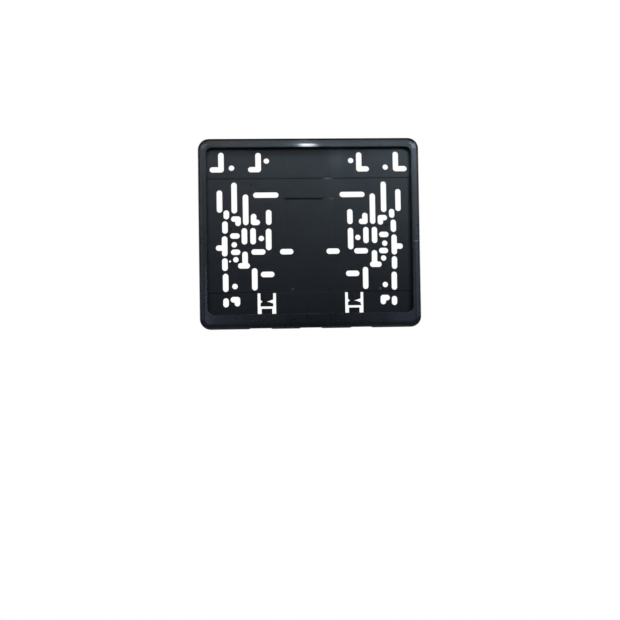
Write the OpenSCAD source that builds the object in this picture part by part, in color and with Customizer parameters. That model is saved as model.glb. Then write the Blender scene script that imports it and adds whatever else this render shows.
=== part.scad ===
// Number plate holder for a two-line plate: a slotted back tray and a lower frame that clips on to it.
// Millimetres. Upright as on the car: +X to the right seen from the front, +Z up, the front towards -Y.
// The origin is the middle of the back plane, which lies against the car.
// Both mouldings are drawn lying on their backs, with y up the plate and z towards the viewer, and stood up
// at the end.

/* [Plate] */
// Width of the number plate
plate_w = 240; // [238:1:270]
// Height of the number plate
plate_h = 205; // [203:1:230]
// Thickness of the number plate
plate_t = 1; // [0.8:0.1:1.6]
// Gap round the edge of the plate
plate_gap = 1.35; // [0.8:0.05:2]
// Play of the plate between its seat pads and the rim
plate_play = 0.5; // [0.3:0.1:1]
// Depth of the plate's pocket, from the panel to the back of the rim
pocket_depth = 4.5; // [3:0.1:5]

/* [Rim] */
// Depth of the holder from its back plane to the crest of the rim
holder_depth = 13; // [12.5:0.1:16]
// How far the rim covers the plate at the top
top_cover = 5.5; // [4.5:0.25:6]
// How far the rim covers the plate at the sides
side_cover = 4.2; // [3.5:0.1:5]
// How far the bottom rail covers the plate
rail_cover = 12; // [11:0.5:12]
// Thickness of the rim at its crest
lip_t = 2.5; // [2.2:0.1:2.8]
// Thickness of the outer wall
outer_wall = 1.8; // [1.6:0.1:2]
// Radius of the rim's outer edge
edge_r = 3; // [2.5:0.1:3.5]
// Slope of the domed rim where it meets its outer edge, in degrees
face_slope = 11; // [4:1:14]
// Width of the flat crest at the sides
crest_w = 0.6; // [0.4:0.1:1]
// Radius of the rounded inner edge of the rim
nose_r = 0.6; // [0.4:0.1:1.5]
// Radius of the holder's corners, seen from the front
corner_r = 12.5; // [11:0.5:14]
// Radius of the corners of the opening
opening_r = 7; // [3:0.5:8]

/* [Panel] */
// Thickness of the panel
panel_t = 2; // [1.6:0.1:2.2]
// Height of the step down below the plate seat
upper_step = 0.9; // [0.4:0.1:1.1]
// Height of the step down to the bottom field
lower_step = 1.3; // [0.6:0.1:1.4]
// Place of the upper step above the middle
upper_step_y = 62.5; // [61:0.5:64]
// Place of the lower step below the middle
lower_step_y = 65.5; // [65.5:0.5:66]
// Thickness of the inner wall that stands inside the lower frame
inner_wall = 1.6; // [1.4:0.1:1.8]
// Thickness of the ribs on the back
rib_t = 1.4; // [1:0.1:1.8]
// Place of the two upright ribs on the back, from the middle
rib_x = 27.5; // [25:0.5:29]

/* [Fixing holes] */
// Width of the fixing slots
slot_w = 6.4; // [5.4:0.1:6.6]
// Diameter of the round fixing holes
hole_d = 6.3; // [5:0.1:6.5]
// Diameter of the pinhole beside the left slots
pinhole_d = 2.3; // [1:0.1:2.6]

/* [Clip-on frame] */
// Place of the seam in the side rims, below the middle
seam_y = 9.5; // [8:0.5:12]
// Gap at the seam
seam_gap = 0.4; // [0.2:0.1:0.6]
// Clearance between the tray and the clip-on frame
fit_gap = 0.25; // [0.2:0.05:0.35]
// Length of the snap tab above the seam
tab_up = 21; // [19:0.5:26]
// Length of the snap tab's root below the seam
tab_root = 14; // [8:0.5:20]
// Place of the upper snap pip above the seam
pip_high = 17; // [14:0.5:17]
// Distance between the two snap pips
pip_pitch = 12; // [6:0.5:12]
// Diameter of a snap pip
pip_d = 1.3; // [1:0.1:1.4]
// Diameter of the hole that a snap pip fills
pip_hole_d = 2; // [1.8:0.05:2.05]

/* [Latches] */
// Place of the latches left and right of the middle
latch_x = 49.7; // [48:0.1:51]
// Width of a latch window
window_w = 20.8; // [19:0.2:22]
// Top of the latch windows below the middle
window_top = 67; // [67:0.5:70]
// Width of the slits beside a spring finger
slit_w = 3.2; // [2.4:0.2:4]
// Thickness of a spring finger
finger_t = 1.4; // [1:0.1:1.8]
// Tip of the spring fingers below the middle
finger_tip = 82; // [80:0.5:83]
// Notched neck of the spring fingers below the middle
neck_y = 76.4; // [75:0.2:77]
// Height of the notches at the neck
notch_h = 4.4; // [2:0.2:5]
// Depth of the notch on the left of the neck
left_notch = 1.8; // [1:0.2:3]
// Depth of the notch on the right of the neck
right_notch = 6.4; // [3:0.2:7]
// How far the tip rib of a free spring finger reaches past the back of the plate
finger_preload = 0.3; // [0.1:0.1:0.4]
// Width of a snap hook
hook_w = 12; // [8:0.5:13]
// Thickness of a snap hook's leg
hook_leg = 1.6; // [1.2:0.1:1.8]
// How far a snap hook's barb reaches behind the panel
hook_catch = 1.4; // [0.8:0.1:2]
// Tip of the snap hooks' release tails below the middle
tail_tip = 84.5; // [83.5:0.5:87]
// Thickness of a release tail
tail_t = 1.3; // [1:0.1:1.6]
// Distance of the snap hooks from the back plane
hook_clear = 0.4; // [0.2:0.1:0.8]

/* [Finger recesses] */
// Width of each recess under the bottom rail
recess_w = 25; // [15:1:32]
// Depth of each recess
recess_depth = 0.8; // [0.4:0.1:1]
// Distance between the recesses
recess_pitch = 57; // [45:1:62]

/* [Hidden] */
$fn = 64;

// Fixing slots of one side, mirrored for the other.
// Upright slots: distance from the middle, low and high end
UPRIGHT_SLOTS = [
    [101.6, 24.8, 50.3], [85, 23.8, 59], [72.2, 10.4, 45.5], [94.1, 17.2, 27.6], [95.8, 1, 15.2],
    [96.4, -41.2, -26.7], [95.8, -65, -44.3], [95.8, -82.4, -72], [46.2, 10.4, 27.8], [46.6, -18.3, 6.4],
    [74, -11.5, 7.2], [64.2, -11.5, 7.2], [63, -63.7, -38.4]];
// Level slots: height, near end and far end from the middle
LEVEL_SLOTS = [
    [44.4, 34.7, 63.5], [-20.1, 50.4, 66.4], [-20.1, 18.8, 34], [-45.7, 40.6, 56], [-1.7, 79.2, 90.2],
    [-20.1, 78.8, 89.4]];
// Round holes: distance from the middle, height
ROUND_HOLES = [[48, 83], [87.5, 75.2], [54.9, -4.8], [85.6, -11.7], [84, -28.6], [85.4, -58.9]];
// L-shaped slots at the top: inner edge, outer edge of the foot, foot's height, top of the upright leg
TALL_ELLS = [[96.1, 112.2, 73.4, 93], [54.1, 68.9, 73.4, 92.6]];
// Short L-shaped slots: level leg's height, its near and far end, upright leg's place and other end
SHORT_ELLS = [[13.5, 56.2, 66.5, 63.3, 23.4], [17.5, 77.8, 88.8, 81, 9.5], [-73.8, 79.8, 90.6, 83, -81.4]];
// Upright leg and side stub of the sideways T: place, low end, high end, stub's height, stub's end
SIDE_TEE = [96.4, -24.8, -1.8, -15.2, 106.4];
// Foot and stem of the standing T: foot's height, near end, far end, stem's place, stem's top
FOOT_TEE = [-35.6, 68.2, 81.7, 73.6, -19.4];
// Place of the pinhole
PINHOLE = [-90.6, -30.5];
// Short groove in the middle of the upper field: left end, right end, height, width, depth
GROOVE = [-26.5, 14, 39.8, 1.6, 1.2];
// Domed marks left by the ejector pins: place, height, diameter
EJECTOR_MARKS = [
    [-19.9, -62.8, 2.6], [79.4, -62.4, 2.6], [22, -62.8, 2], [-89, 6.2, 2.6], [86.8, 8.5, 2.6],
    [-65.6, 56.2, 2.4], [65.2, 57.4, 2.4]];
// How far a mark stands proud
mark_rise = 0.5;
// Short raised bars on the panel: place, height, length
RAISED_BARS = [[21, 64.3, 8], [25, 40.2, 4]];
// Diameter of a raised bar
bar_d = 1.6;
// Seat pads under the rim, which carry the plate: places along the top, places up the sides
TOP_PADS = [-90, -30, 30, 90];
SIDE_PADS = [15, 65];
// Length of a seat pad, and its distance behind the inner edge of the rim
pad_l = 12;
pad_back = 0.8;
// Gate marks in the top edge: places from the middle, distance from the edge, diameter,
// depth below the crest
GATE_MARKS = [-8, -3.5];
gate_inset = 2.1;
gate_d = 1.3;
gate_depth = 1.2;
// Break in the upright ribs beside the middle slots: low and high end
RIB_BREAK = [-28, -12.5];
// Heights of the short ribs between the upright ones
CROSS_RIBS = [0, -40];
// Distance of the long level ribs from the steps
rib_inset = 3;
// Width of the inner end of a notch
notch_tip = 0.8;
// Thickness of a barb's edge, and the least height of a barb at the hook's leg
barb_edge = 0.6;
barb_h = 1.1;
// How far joined shapes run into one another
sunk = 0.45;
// Run-out of cutting shapes past the faces they cut
over = 1;

outer_stack = plate_gap + inner_wall + fit_gap + outer_wall;
outer_w = plate_w + 2 * outer_stack;
outer_h = plate_h + 2 * outer_stack;
tray_inset = outer_wall + fit_gap;
opening_w = plate_w - 2 * side_cover;
opening_h = plate_h - top_cover - rail_cover;
opening_y = (rail_cover - top_cover) / 2;
opening_low = opening_y - opening_h / 2;

lip_back = holder_depth - lip_t;
face_run = outer_stack + side_cover - nose_r - crest_w;
face_r = edge_r + (face_run - edge_r) / sin(face_slope);
edge_z = holder_depth - face_r + (face_r - edge_r) * cos(face_slope);
seat_z = lip_back - pocket_depth;
pad_front = lip_back - plate_t - plate_play;
field_z = seat_z - upper_step;
bottom_z = field_z - lower_step;

tab_x = outer_w / 2 - tray_inset - inner_wall;
tab_low = -seam_y - tab_root;
tab_high = tab_up - seam_y;
tab_front = lip_back - fit_gap;
pip_x = tab_x + inner_wall / 2;
finger_w = window_w - 2 * slit_w;
leg_front = opening_low - sunk;
leg_back = leg_front - hook_leg;
window_low = leg_back - fit_gap;
barb_front = bottom_z - panel_t - fit_gap;
hook_back = min(hook_clear, barb_front - barb_h);
finger_front = lip_back - plate_t + finger_preload;

// Stands the flat drawing up, with its front towards -Y
module upright() {
    rotate([90, 0, 0]) children();
}

module both_sides() {
    children();
    mirror([1, 0, 0]) children();
}

module rounded_rect(w, h, r) {
    square([w, h - 2 * r], center = true);
    square([w - 2 * r, h], center = true);
    for (x = [r - w / 2, w / 2 - r], y = [r - h / 2, h / 2 - r]) translate([x, y]) circle(r);
}

// Outline of the holder, moved inwards
module outline(inset) {
    rounded_rect(outer_w - 2 * inset, outer_h - 2 * inset, corner_r - inset);
}

// Everything above the seam, in plan
module above_seam() {
    translate([-outer_w, seam_gap / 2 - seam_y]) square([2 * outer_w, outer_h]);
}

// Everything below the seam, in plan
module below_seam() {
    translate([-outer_w, -seam_gap / 2 - seam_y - outer_h]) square([2 * outer_w, outer_h]);
}

// Runs a section round a rounded rectangle. The section's x is the distance outside the outline.
module around(w, h, r) {
    for (turn = [0, 180]) rotate(turn) straight_run(w / 2, h / 2 - r) children();
    for (turn = [90, 270]) rotate(turn) straight_run(h / 2, w / 2 - r) children();
    for (flip_x = [0, 1], flip_y = [0, 1]) mirror([flip_x, 0, 0]) mirror([0, flip_y, 0])
        translate([w / 2 - r, h / 2 - r, 0]) rotate_extrude(angle = 90) translate([r, 0]) children();
}

module straight_run(distance, half_length) {
    translate([distance, half_length, 0]) rotate([90, 0, 0]) linear_extrude(2 * half_length) children();
}

// Section of the outer wall and the domed rim, which falls from its crest to the round outer edge
module edge_section() {
    intersection() {
        union() {
            translate([-outer_wall, 0]) square([outer_wall, holder_depth]);
            translate([-face_run, lip_back]) square([face_run, lip_t]);
        }
        union() {
            translate([-edge_r, 0]) square([edge_r, edge_z]);
            translate([-edge_r, edge_z]) circle(edge_r);
            intersection() {
                translate([-face_run, lip_back])
                    square([face_run - edge_r + edge_r * sin(face_slope), lip_t]);
                translate([-face_run, holder_depth - face_r]) circle(face_r, $fn = 360);
            }
        }
    }
}

// Section of the rounded inner edge of the rim
module nose_section() {
    square([nose_r, lip_t - nose_r]);
    intersection() {
        square([nose_r, lip_t]);
        translate([nose_r, lip_t - nose_r]) circle(nose_r);
    }
}

// Outer wall and rim, all the way round
module shell() {
    around(outer_w, outer_h, corner_r) edge_section();
    translate([0, opening_y, lip_back]) around(opening_w, opening_h, opening_r) nose_section();
    translate([0, 0, lip_back]) linear_extrude(lip_t) difference() {
        outline(face_run);
        translate([0, opening_y])
            rounded_rect(opening_w + 2 * nose_r, opening_h + 2 * nose_r, opening_r + nose_r);
    }
}

module upright_slot(x, low, high) {
    middle = (low + high) / 2;
    reach = (high - low - slot_w) / 2;
    translate([x, middle]) {
        square([slot_w, 2 * reach], center = true);
        for (end = [-reach, reach]) translate([0, end]) circle(d = slot_w);
    }
}

module level_slot(y, near, far) {
    middle = (near + far) / 2;
    reach = (far - near - slot_w) / 2;
    translate([middle, y]) {
        square([2 * reach, slot_w], center = true);
        for (end = [-reach, reach]) translate([end, 0]) circle(d = slot_w);
    }
}

// All fixing slots and holes of one side
module fixing_holes() {
    for (slot = UPRIGHT_SLOTS) upright_slot(slot[0], slot[1], slot[2]);
    for (slot = LEVEL_SLOTS) level_slot(slot[0], slot[1], slot[2]);
    for (hole = ROUND_HOLES) translate(hole) circle(d = hole_d);
    for (ell = TALL_ELLS) {
        level_slot(ell[2], ell[0], ell[1]);
        upright_slot(ell[0] + slot_w / 2, ell[2] - slot_w / 2, ell[3]);
    }
    for (ell = SHORT_ELLS) {
        level_slot(ell[0], ell[1], ell[2]);
        upright_slot(ell[3], min(ell[0] - slot_w / 2, ell[4]), max(ell[0] + slot_w / 2, ell[4]));
    }
    upright_slot(SIDE_TEE[0], SIDE_TEE[1], SIDE_TEE[2]);
    level_slot(SIDE_TEE[3], SIDE_TEE[0], SIDE_TEE[4]);
    level_slot(FOOT_TEE[0], FOOT_TEE[1], FOOT_TEE[2]);
    upright_slot(FOOT_TEE[3], FOOT_TEE[0], FOOT_TEE[4]);
}

// Both latches, which are alike and not mirrored
module at_latches() {
    for (x = [-latch_x, latch_x]) translate([x, 0]) children();
}

// Window in the panel for a spring finger and a snap hook
module latch_window() {
    translate([-window_w / 2, window_low]) square([window_w, -window_top - window_low]);
}

// Room for the snap tab in the edge of the panel
module tab_notch() {
    translate([tab_x - fit_gap, tab_low - fit_gap])
        square([inner_wall + 2 * fit_gap, tab_high - tab_low + 2 * fit_gap]);
}

// Plan of the panel, which reaches into the outer wall above the seam
module panel_plan() {
    difference() {
        union() {
            outline(tray_inset);
            intersection() {
                outline(outer_wall / 2);
                above_seam();
            }
        }
        both_sides() tab_notch();
        both_sides() fixing_holes();
        at_latches() latch_window();
        translate(PINHOLE) circle(d = pinhole_d);
    }
}

// Front of the panel from the side, as points from the top to the bottom, moved back by a depth
function panel_line(depth) = [
    [outer_h / 2, seat_z - depth], [upper_step_y + upper_step, seat_z - depth],
    [upper_step_y, field_z - depth], [-lower_step_y, field_z - depth],
    [-lower_step_y - lower_step, bottom_z - depth], [-outer_h / 2, bottom_z - depth]];

function reversed(points) = [for (i = [len(points) - 1 : -1 : 0]) points[i]];

// Runs a side view, drawn as y and z, across the holder
module across(width) {
    rotate([90, 0, 90]) translate([0, 0, -width / 2]) linear_extrude(width) children();
}

function front_z(y) = y > upper_step_y ? seat_z : y > -lower_step_y ? field_z : bottom_z;

module panel() {
    difference() {
        intersection() {
            across(outer_w) polygon(concat(panel_line(0), reversed(panel_line(panel_t))));
            linear_extrude(holder_depth) panel_plan();
        }
        translate([GROOVE[0], GROOVE[2] - GROOVE[3] / 2, field_z - GROOVE[4]])
            cube([GROOVE[1] - GROOVE[0], GROOVE[3], GROOVE[4] + over]);
    }
    for (mark = EJECTOR_MARKS) translate([mark[0], mark[1], front_z(mark[1])]) dome(mark[2]);
    for (mark = RAISED_BARS) translate([mark[0], mark[1], front_z(mark[1]) + mark_rise - bar_d / 2])
        rotate([0, 90, 0]) cylinder(d = bar_d, h = mark[2], center = true);
}

// Low dome on the panel's front
module dome(width) {
    ball_r = (width * width / 4 + mark_rise * mark_rise) / (2 * mark_rise);
    intersection() {
        translate([0, 0, mark_rise - ball_r]) sphere(ball_r);
        translate([0, 0, -panel_t / 2]) cylinder(d = width, h = panel_t / 2 + mark_rise);
    }
}

// Pads that carry the edge of the plate, hidden under the rim
module seat_pads() {
    top_low = opening_y + opening_h / 2 + pad_back;
    side_near = opening_w / 2 + pad_back;
    pad_low = seat_z - upper_step - panel_t / 2;
    for (x = TOP_PADS) translate([x - pad_l / 2, top_low, pad_low])
        cube([pad_l, outer_h / 2 - outer_wall / 2 - top_low, pad_front - pad_low]);
    both_sides() for (y = SIDE_PADS) translate([side_near, y, pad_low])
        cube([outer_w / 2 - outer_wall / 2 - side_near, pad_l, pad_front - pad_low]);
}

// Wall round the lower part of the tray, which stands inside the clip-on frame
module inner_skirt() {
    linear_extrude(tab_front) difference() {
        outline(tray_inset);
        outline(tray_inset + inner_wall);
        translate([-outer_w, tab_low - fit_gap]) square([2 * outer_w, outer_h]);
    }
}

// Upright rib on the back, over a stretch of the panel
module upright_rib(x, low, high) {
    intersection() {
        translate([x, 0, 0]) across(rib_t)
            polygon(concat(panel_line(panel_t / 2), [[-outer_h / 2, 0], [outer_h / 2, 0]]));
        translate([-outer_w, low, 0]) cube([2 * outer_w, high - low, holder_depth]);
    }
}

// Level rib on the back
module level_rib(y, near, far) {
    translate([near, y - rib_t / 2, 0]) cube([far - near, rib_t, front_z(y) - panel_t / 2]);
}

module ribs() {
    wall_x = outer_w / 2 - tray_inset - inner_wall / 2;
    wall_y = outer_h / 2 - tray_inset - inner_wall / 2;
    both_sides() {
        upright_rib(rib_x, -wall_y, RIB_BREAK[0]);
        upright_rib(rib_x, RIB_BREAK[1], outer_h / 2 - outer_wall / 2);
        level_rib(upper_step_y + rib_inset, 0, outer_w / 2 - outer_wall / 2);
        level_rib(-lower_step_y - rib_inset, 0, latch_x - window_w / 2 - rib_t);
        level_rib(-lower_step_y - rib_inset, latch_x + window_w / 2 + rib_t, wall_x);
        for (y = CROSS_RIBS) level_rib(y, 0, rib_x);
    }
}

// Straight bar with round ends, in a section
module bar(from, to, thickness) {
    run = to - from;
    translate(from) rotate(atan2(run[1], run[0])) translate([0, -thickness / 2])
        square([norm(run), thickness]);
    for (end = [from, to]) translate(end) circle(d = thickness);
}

// Notch in the edge of a spring finger, tapering to the left
module notch(edge, depth) {
    polygon([[edge - depth, -neck_y], [edge, notch_h / 2 - neck_y], [edge + over, notch_h / 2 - neck_y],
        [edge + over, -notch_h / 2 - neck_y], [edge, -notch_h / 2 - neck_y]]);
    translate([edge - depth, -neck_y]) circle(d = notch_tip);
}

// Spring finger with a notched neck. The rib at its tip presses on the back of the plate.
module spring_finger() {
    root = [over - window_top, bottom_z - finger_t / 2];
    foot = [finger_t / 2 - finger_tip, bottom_z - finger_t / 2];
    rib_end = [finger_t / 2 - finger_tip, finger_front - finger_t / 2];
    intersection() {
        across(finger_w) {
            bar(root, foot, finger_t);
            bar(foot, rib_end, finger_t);
        }
        linear_extrude(holder_depth) difference() {
            translate([-finger_w / 2, -finger_tip]) square([finger_w, finger_tip - window_top + over]);
            notch(finger_w / 2, right_notch);
            mirror([1, 0]) notch(finger_w / 2, left_notch);
        }
    }
}

module plate_tray() {
    color([0.1, 0.11, 0.13]) upright() {
        difference() {
            intersection() {
                shell();
                linear_extrude(holder_depth) above_seam();
            }
            both_sides() for (step = [0, pip_pitch])
                translate([pip_x, pip_high - seam_y - step, lip_back - fit_gap])
                    cylinder(d = pip_hole_d, h = lip_t + over);
            for (x = GATE_MARKS) translate([x, outer_h / 2 - gate_inset, holder_depth - gate_depth])
                cylinder(d = gate_d, h = gate_depth + over);
        }
        panel();
        seat_pads();
        inner_skirt();
        ribs();
        at_latches() spring_finger();
    }
}

// Snap tab at the top of an arm, with its two pips
module snap_tab() {
    translate([tab_x, tab_low, 0]) cube([inner_wall, tab_high - tab_low, tab_front]);
    translate([tab_x, tab_low, 0])
        cube([outer_w / 2 - outer_wall / 2 - tab_x, tab_root - seam_gap / 2, tab_front]);
    for (step = [0, pip_pitch]) translate([pip_x, pip_high - seam_y - step, 0])
        cylinder(d = pip_d, h = lip_back + lip_t / 2);
}

// Snap hook behind the bottom rail: a leg through the window, a barb behind the panel and a release tail
module snap_hook() {
    barb_low = window_low - hook_catch;
    across(hook_w) {
        translate([leg_back, hook_back]) square([hook_leg, lip_back + sunk - hook_back]);
        translate([leg_back, hook_back]) square([-tail_tip - leg_back, tail_t]);
        polygon([[leg_back, hook_back], [leg_front, hook_back], [leg_front, barb_front],
            [barb_low, barb_front], [barb_low, barb_front - barb_edge]]);
    }
}

// Shallow finger recesses under the bottom rail
module finger_recesses() {
    for (x = [-recess_pitch, 0, recess_pitch]) translate([x, -outer_h / 2]) polygon([
        [-recess_w / 2 - recess_depth, -over], [-recess_w / 2 - recess_depth, 0],
        [-recess_w / 2 + recess_depth, recess_depth], [recess_w / 2 - recess_depth, recess_depth],
        [recess_w / 2 + recess_depth, 0], [recess_w / 2 + recess_depth, -over]]);
}

module lower_frame() {
    color([0.13, 0.14, 0.17]) upright() {
        difference() {
            intersection() {
                shell();
                linear_extrude(holder_depth) below_seam();
            }
            translate([0, 0, -over]) linear_extrude(holder_depth + 2 * over) finger_recesses();
        }
        both_sides() snap_tab();
        at_latches() snap_hook();
    }
}

plate_tray();
lower_frame();
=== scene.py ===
"""Looks of a black plastic number plate holder: a slotted tray and the lower frame that clips on to it."""
from math import radians

import bpy
from mathutils import Matrix, Vector

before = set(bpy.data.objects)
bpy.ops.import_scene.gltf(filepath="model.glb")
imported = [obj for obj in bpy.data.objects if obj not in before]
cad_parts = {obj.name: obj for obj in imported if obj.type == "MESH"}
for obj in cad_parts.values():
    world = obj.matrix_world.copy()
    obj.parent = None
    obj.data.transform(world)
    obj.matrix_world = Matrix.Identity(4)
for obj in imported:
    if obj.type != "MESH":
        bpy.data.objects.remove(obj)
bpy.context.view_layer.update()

MM = 0.001

# Camera, fitted to the corners of the holder in the photograph: place in metres, turns in degrees
CAMERA_PLACE = Vector((-0.0469, -0.9795, -0.1079))
CAMERA_YAW = -2.696
CAMERA_PITCH = 1.244
CAMERA_ROLL = 0.904
CAMERA_LENS = 50

# Studio, far enough away that every view of the holder stays inside it
FLOOR_Z = -0.85
BACKDROP_Y = 0.9
STUDIO_WIDTH = 6.0
FLOOR_FRONT = -1.6
BACKDROP_TOP = 3.0
PAPER = (0.8, 0.81, 0.82, 1)
FLOOR_GLOW = 0.75

# Depths between which the field's look turns into the rim's
FIELD_Y = -7 * MM
RIM_Y = -9 * MM

# Plastics: darker and lighter colour, roughness of the field and of the rim, strength of the grain
TRAY_PLASTIC = ((0.015, 0.0165, 0.0175, 1), (0.021, 0.0235, 0.025, 1), 0.38, 0.3, 0.3)
FRAME_PLASTIC = ((0.015, 0.0165, 0.0185, 1), (0.021, 0.023, 0.026, 1), 0.34, 0.28, 0.25)
PLASTIC_IOR = 1.5
SPECULAR_LEVEL = 0.5

# Noises, in waves per metre: clouds in the colour, smudges in the gloss, grain and slight waves
CLOUDS = 22
SMUDGES = 65
GRAIN = 2600
WAVES = 34
GRAIN_DEPTH = 0.05 * MM
WAVE_DEPTH = 0.5 * MM
WAVE_STRENGTH = 0.35

# Sink marks over the two upright ribs
RIB_PLACE = 27.5 * MM
SINK_WIDTH = 1.3 * MM
SINK_DEPTH = 0.05 * MM

# Soft patches, in millimetres: distance from the middle, height, half length, half height and strength.
# The first list is painted highlights and painted sheen: lighter colour on raised marks, specks, the seam,
# the lower step and the top field.
PAINTED_HIGHLIGHTS = [
    (21, 62.9, 3.8, 0.8, 0.9), (25, 40, 2, 0.7, 0.75), (-19.9, -62.8, 1.2, 1.2, 0.6),
    (79.4, -63, 1.2, 1.2, 0.8), (120.5, -10.3, 2.4, 0.7, 1), (33, 85, 11, 14, 0.11),
    (30, 52, 9, 9, 0.03), (90, 84, 26, 16, 0.03), (0, -66.2, 80, 0.8, 0.28)]
PAINTED_HIGHLIGHT_COLOUR = (0.33, 0.4, 0.46, 1)
# Painted shade: a painted shadow on the field under the top rim, and painted shade on the middle of the
# bottom rim
FIELD_PAINTED_SHADOW = [(-25, 93.5, 90, 5, 0.5)]
RIM_PAINTED_SHADE = [(2, -99, 45, 14, 0.3)]
# Smoother patch of the top rim below the gate marks
POLISHED = (-3.5, 100.5, 12, 3, 1)

# Gloss coat of the rim: its weight away from the smoother patch, and the coat itself
COAT_WEIGHT = 0.09
COAT_IOR = 2.0
COAT_ROUGHNESS = 0.06

# Painted shade in the groove of the upper field: the groove's ends, height and half width, and how dark it
# gets
GROOVE_LEFT = -26.5 * MM
GROOVE_RIGHT = 14 * MM
GROOVE_Z = 39.8 * MM
GROOVE_HIGH = 1.2 * MM
GROOVE_FADE = 4 * MM
GROOVE_SHADE_LEVEL = 0.35

# Painted shade: how much darker the panel's colour and gloss get from its top to its bottom
PAINTED_SHADE_LOW, PAINTED_SHADE_HIGH = -75 * MM, 85 * MM
LEVEL_LOW, LEVEL_HIGH = 0.62, 1.05

# Fine rounding of the edges, and the angles in degrees that count as flat and as an edge
EDGE_ROUNDING = 0.25 * MM
FLAT_ANGLE = 0.4
EDGE_ANGLE = 35

# Light of the room, dark below and brighter above, and the heights between which it changes
ROOM_LOW = (0.003, 0.003, 0.004, 1)
ROOM_HIGH = (0.01, 0.011, 0.012, 1)
ROOM_SLOPE = (-0.1, 0.6)

# Soft lamps: name, place, target, width and height, power, colour
LAMPS = [
    ("arc_middle", (0.07, -1.45, 0.53), (0, 0, 0), (0.5, 0.25), 0.72, (0.46, 0.76, 1)),
    ("arc_left", (-0.45, -1.4, 0.53), (0, 0, 0), (0.4, 0.25), 1.25, (0.9, 0.92, 1)),
    ("arc_right", (0.6, -1.35, 0.53), (0, 0, 0), (0.4, 0.25), 3.8, (0.67, 0.83, 1)),
    ("high_middle", (0.05, -1.3, 0.82), (0, 0, 0), (0.6, 0.3), 0.9, (0.98, 0.94, 0.88)),
    ("card_left", (-0.8, -1.3, 0.2), (0, 0, 0), (0.4, 0.6), 0.75, (0.88, 0.96, 1)),
    ("card_right", (0.8, -1.3, 0.2), (0, 0, 0), (0.4, 0.6), 0.95, (0.74, 0.84, 1)),
    ("near_left", (-0.32, -1.6, -0.12), (0, 0, 0), (0.2, 0.4), 0.5, (0.64, 0.66, 1)),
    ("near_right", (0.42, -1.6, -0.12), (0, 0, 0), (0.2, 0.4), 0.24, (0.56, 0.66, 1)),
    ("side_left", (-1.3, 0.12, 0.05), (0, 0, 0), (0.5, 0.6), 1.4, (0.85, 0.93, 1)),
    ("side_right", (1.3, 0.12, 0.05), (0, 0, 0), (0.5, 0.6), 2.6, (0.85, 0.93, 1)),
    ("behind_left", (-0.6, 0.65, 0.45), (0, 0, 0), (0.8, 0.5), 4, (0.85, 0.93, 1)),
    ("behind_right", (0.7, 0.6, 0.1), (0, 0, 0), (0.5, 0.5), 1.5, (1, 0.97, 0.92)),
    ("streak", (0.069, -1.44, 0.42), (0, 0, 0.1), (0.046, 0.3), 0.48, (0.85, 0.92, 1)),
]


class Nodes:
    """Adds and joins the nodes of one material."""

    def __init__(self, name):
        self.material = bpy.data.materials.new(name)
        self.material.use_nodes = True
        self.tree = self.material.node_tree
        self.tree.nodes.clear()
        self.output = self.add("ShaderNodeOutputMaterial")

    def add(self, kind, inputs=None, **settings):
        """A node with its settings, and its inputs set to values or joined to sockets."""
        node = self.tree.nodes.new(kind)
        for key, value in settings.items():
            setattr(node, key, value)
        for key, value in (inputs or {}).items():
            if isinstance(value, bpy.types.NodeSocket):
                self.tree.links.new(value, node.inputs[key])
            else:
                node.inputs[key].default_value = value
        return node

    def noise(self, place, scale, detail, roughness):
        """Noise over the object's own coordinates, in waves per metre."""
        return self.add("ShaderNodeTexNoise", {"Vector": place, "Scale": scale, "Detail": detail,
                                               "Roughness": roughness}).outputs["Fac"]

    def remap(self, value, low, high, to_low, to_high):
        """The value's range from low to high, taken to another range."""
        return self.add("ShaderNodeMapRange", {"Value": value, "From Min": low, "From Max": high,
                                               "To Min": to_low, "To Max": to_high}).outputs["Result"]

    def math(self, operation, *values):
        """The result of a sum, product or other operation."""
        return self.add("ShaderNodeMath", dict(enumerate(values)), operation=operation).outputs[0]

    def blend(self, factor, colour_a, colour_b):
        """One colour blended into another."""
        node = self.add("ShaderNodeMix", data_type="RGBA")
        for key, value in ((0, factor), (6, colour_a), (7, colour_b)):
            if isinstance(value, bpy.types.NodeSocket):
                self.tree.links.new(value, node.inputs[key])
            else:
                node.inputs[key].default_value = value
        return node.outputs[2]

    def bump(self, height, strength, distance, normal=None):
        """A bump of that height, over another if one is given."""
        inputs = {"Height": height, "Strength": strength, "Distance": distance}
        if normal is not None:
            inputs["Normal"] = normal
        return self.add("ShaderNodeBump", inputs).outputs["Normal"]

    def finish(self, shader):
        """Joins the shader to the output and gives the material."""
        self.tree.links.new(shader, self.output.inputs["Surface"])
        return self.material


def hump(n, distance, width):
    """One on a line and falling to nothing beside it, from the distance to it in metres."""
    spread = n.math("DIVIDE", distance, width)
    return n.math("EXPONENT", n.math("MULTIPLY", n.math("MULTIPLY", spread, spread), -1))


def patch(n, axes, spot):
    """How strongly a soft patch shows, from one of the lists of places."""
    x, z, half_length, half_height, strength = spot
    along = hump(n, n.math("SUBTRACT", axes["X"], x * MM), half_length * MM)
    upright = hump(n, n.math("SUBTRACT", axes["Z"], z * MM), half_height * MM)
    return n.math("MULTIPLY", n.math("MULTIPLY", along, upright), strength)


def painted_shade(n, axes, level, spots):
    """The level, lowered by painted shade at the listed spots."""
    for spot in spots:
        level = n.math("MULTIPLY", level, n.remap(patch(n, axes, spot), 0, 1, 1, 0))
    return level


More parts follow.
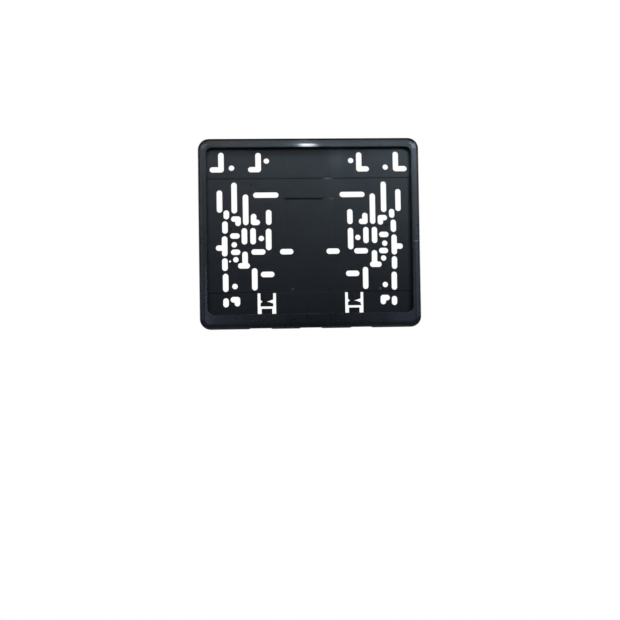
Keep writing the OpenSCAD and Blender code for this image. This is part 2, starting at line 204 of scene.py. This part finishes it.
def brightness(n, axes, rim):
    """Share of colour and gloss that shows, as painted shade: less low on the field, under the top rim, on
    the bottom rim's middle and in the groove.
    """
    field = n.remap(axes["Z"], PAINTED_SHADE_LOW, PAINTED_SHADE_HIGH, LEVEL_LOW, LEVEL_HIGH)
    level = n.remap(rim, 0, 1, painted_shade(n, axes, field, FIELD_PAINTED_SHADOW), painted_shade(n, axes, 1, RIM_PAINTED_SHADE))
    right_of_start = n.remap(axes["X"], GROOVE_LEFT - GROOVE_FADE, GROOVE_LEFT, 0, 1)
    left_of_end = n.remap(axes["X"], GROOVE_RIGHT, GROOVE_RIGHT + GROOVE_FADE, 1, 0)
    in_groove = n.math("MULTIPLY", right_of_start, left_of_end)
    groove_shade = n.math("MULTIPLY", hump(n, n.math("SUBTRACT", axes["Z"], GROOVE_Z), GROOVE_HIGH), in_groove)
    return n.math("MULTIPLY", level, n.remap(groove_shade, 0, 1, 1, GROOVE_SHADE_LEVEL))


def surface(n, place, axes, rim, grain):
    """Fine grain and slight waves, with sink marks over the ribs of the field."""
    from_rib = n.math("SUBTRACT", n.math("ABSOLUTE", axes["X"]), RIB_PLACE)
    over_ribs = n.math("MULTIPLY", hump(n, from_rib, SINK_WIDTH), n.remap(rim, 0, 1, -1, 0))
    normal = n.bump(n.noise(place, GRAIN, 2, 0.6), grain, GRAIN_DEPTH)
    normal = n.bump(n.noise(place, WAVES, 2, 0.4), WAVE_STRENGTH, WAVE_DEPTH, normal)
    return n.bump(over_ribs, 1, SINK_DEPTH, normal)


def moulded_plastic(name, dark, light, field_gloss, rim_gloss, grain):
    """Black moulded plastic: cloudy colour, fine grain, a duller field and a smoother rim, with painted
    highlights and painted shade in its colour and gloss.
    """
    n = Nodes(name)
    place = n.add("ShaderNodeTexCoord").outputs["Object"]
    axes = n.add("ShaderNodeSeparateXYZ", {0: place}).outputs
    rim = n.remap(axes["Y"], FIELD_Y, RIM_Y, 0, 1)
    # Painted shade lowers the colour and the strength of the gloss
    level = brightness(n, axes, rim)
    colour = n.blend(n.remap(n.noise(place, CLOUDS, 4, 0.6), 0.35, 0.68, 0, 1), dark, light)
    # Painted highlights and painted sheen: lighter colour at the listed places
    for spot in PAINTED_HIGHLIGHTS:
        colour = n.blend(patch(n, axes, spot), colour, PAINTED_HIGHLIGHT_COLOUR)
    gloss = n.remap(rim, 0, 1, field_gloss, rim_gloss)
    uneven = n.remap(n.noise(place, SMUDGES, 5, 0.65), 0.3, 0.7, 0.9, 1.1)
    polish = n.remap(patch(n, axes, POLISHED), 0, 1, COAT_WEIGHT, 1)
    shader = n.add("ShaderNodeBsdfPrincipled", {
        "Base Color": n.blend(level, (0, 0, 0, 1), colour),
        "Roughness": n.math("MULTIPLY", gloss, uneven),
        "Normal": surface(n, place, axes, rim, grain),
        "IOR": PLASTIC_IOR,
        "Specular IOR Level": n.math("MULTIPLY", level, SPECULAR_LEVEL),
        "Coat Weight": n.math("MULTIPLY", rim, polish),
        "Coat IOR": COAT_IOR,
        "Coat Roughness": COAT_ROUGHNESS})
    return n.finish(shader.outputs["BSDF"])


def paper(name, sees_shadow):
    """Pale studio paper, white to the camera; the floor's also takes the holder's shadow."""
    n = Nodes(name)
    rays = n.add("ShaderNodeLightPath")
    matte = n.add("ShaderNodeBsdfDiffuse", {"Color": PAPER})
    glow = FLOOR_GLOW if sees_shadow else 1.0
    seen = n.add("ShaderNodeEmission", {"Color": (1, 1, 1, 1), "Strength": glow})
    if sees_shadow:
        seen = n.add("ShaderNodeAddShader", {0: matte.outputs[0], 1: seen.outputs[0]})
    mixed = n.add("ShaderNodeMixShader", {0: rays.outputs["Is Camera Ray"], 1: matte.outputs[0],
                                          2: seen.outputs[0]})
    return n.finish(mixed.outputs[0])


def stage_sheet(name, corners, material):
    """A flat sheet of the studio, which isn't part of the holder."""
    mesh = bpy.data.meshes.new(name)
    mesh.from_pydata(corners, [], [range(len(corners))])
    mesh.materials.append(material)
    sheet = bpy.data.objects.new(name, mesh)
    bpy.context.scene.collection.objects.link(sheet)


def studio():
    """A pale floor and backdrop."""
    right = STUDIO_WIDTH / 2
    stage_sheet("floor", [(-right, FLOOR_FRONT, FLOOR_Z), (right, FLOOR_FRONT, FLOOR_Z),
                          (right, BACKDROP_Y, FLOOR_Z), (-right, BACKDROP_Y, FLOOR_Z)],
                paper("floor_paper", True))
    stage_sheet("backdrop", [(-right, BACKDROP_Y, FLOOR_Z), (right, BACKDROP_Y, FLOOR_Z),
                             (right, BACKDROP_Y, BACKDROP_TOP), (-right, BACKDROP_Y, BACKDROP_TOP)],
                paper("backdrop_paper", False))


def camera():
    """The camera at the photograph's place, turned as the photograph was taken."""
    data = bpy.data.cameras.new("camera")
    data.lens = CAMERA_LENS
    data.clip_start = 0.01
    seen_by = bpy.data.objects.new("camera", data)
    bpy.context.scene.collection.objects.link(seen_by)
    turned = (Matrix.Rotation(radians(CAMERA_YAW), 4, "Z") @ Matrix.Rotation(radians(CAMERA_PITCH), 4, "X")
              @ Matrix.Rotation(radians(CAMERA_ROLL), 4, "Y") @ Matrix.Rotation(radians(90), 4, "X"))
    seen_by.matrix_world = Matrix.Translation(CAMERA_PLACE) @ turned
    bpy.context.scene.camera = seen_by


def lamp(name, place, target, size, power, colour):
    """A soft rectangular lamp, aimed at a point."""
    data = bpy.data.lights.new(name, "AREA")
    data.shape = "RECTANGLE"
    data.size, data.size_y = size
    data.energy = power
    data.color = colour
    made = bpy.data.objects.new(name, data)
    made.visible_camera = False
    bpy.context.scene.collection.objects.link(made)
    away = Vector(place) - Vector(target)
    made.matrix_world = Matrix.Translation(place) @ away.to_track_quat("Z", "Y").to_matrix().to_4x4()


def room():
    """Dim light of the room, brighter above; the camera sees it as white."""
    world = bpy.data.worlds.new("room")
    bpy.context.scene.world = world
    world.use_nodes = True
    tree = world.node_tree
    place = tree.nodes.new("ShaderNodeTexCoord").outputs["Generated"]
    height = tree.nodes.new("ShaderNodeSeparateXYZ")
    tree.links.new(place, height.inputs[0])
    slope = tree.nodes.new("ShaderNodeMapRange")
    slope.inputs["From Min"].default_value, slope.inputs["From Max"].default_value = ROOM_SLOPE
    tree.links.new(height.outputs["Z"], slope.inputs["Value"])
    shade = tree.nodes.new("ShaderNodeMix")
    shade.data_type = "RGBA"
    tree.links.new(slope.outputs["Result"], shade.inputs[0])
    shade.inputs[6].default_value = ROOM_LOW
    shade.inputs[7].default_value = ROOM_HIGH
    seen = tree.nodes.new("ShaderNodeMix")
    seen.data_type = "RGBA"
    tree.links.new(tree.nodes.new("ShaderNodeLightPath").outputs["Is Camera Ray"], seen.inputs[0])
    tree.links.new(shade.outputs[2], seen.inputs[6])
    seen.inputs[7].default_value = (1, 1, 1, 1)
    tree.links.new(seen.outputs[2], tree.nodes["Background"].inputs["Color"])


def lighting():
    """The room's light and the soft lamps."""
    room()
    for name, place, target, size, power, colour in LAMPS:
        lamp(name, place, target, size, power, colour)


def round_edges(node):
    """Fine rounding of a moulding's edges."""
    flat = node.modifiers.new("flat_faces", "DECIMATE")
    flat.decimate_type = "DISSOLVE"
    flat.angle_limit = radians(FLAT_ANGLE)
    bevel = node.modifiers.new("edge_rounding", "BEVEL")
    bevel.width = EDGE_ROUNDING
    bevel.segments = 2
    bevel.limit_method = "ANGLE"
    bevel.angle_limit = radians(EDGE_ANGLE)
    bevel.harden_normals = True


def dress():
    """Materials and edge rounding of the two mouldings."""
    plastics = {"plate_tray": moulded_plastic("tray_plastic", *TRAY_PLASTIC),
                "lower_frame": moulded_plastic("frame_plastic", *FRAME_PLASTIC)}
    for name, plastic in plastics.items():
        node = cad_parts[name]
        node.data.materials.clear()
        node.data.materials.append(plastic)
        round_edges(node)


bpy.context.scene.view_settings.view_transform = "Standard"
camera()
studio()
lighting()
dress()
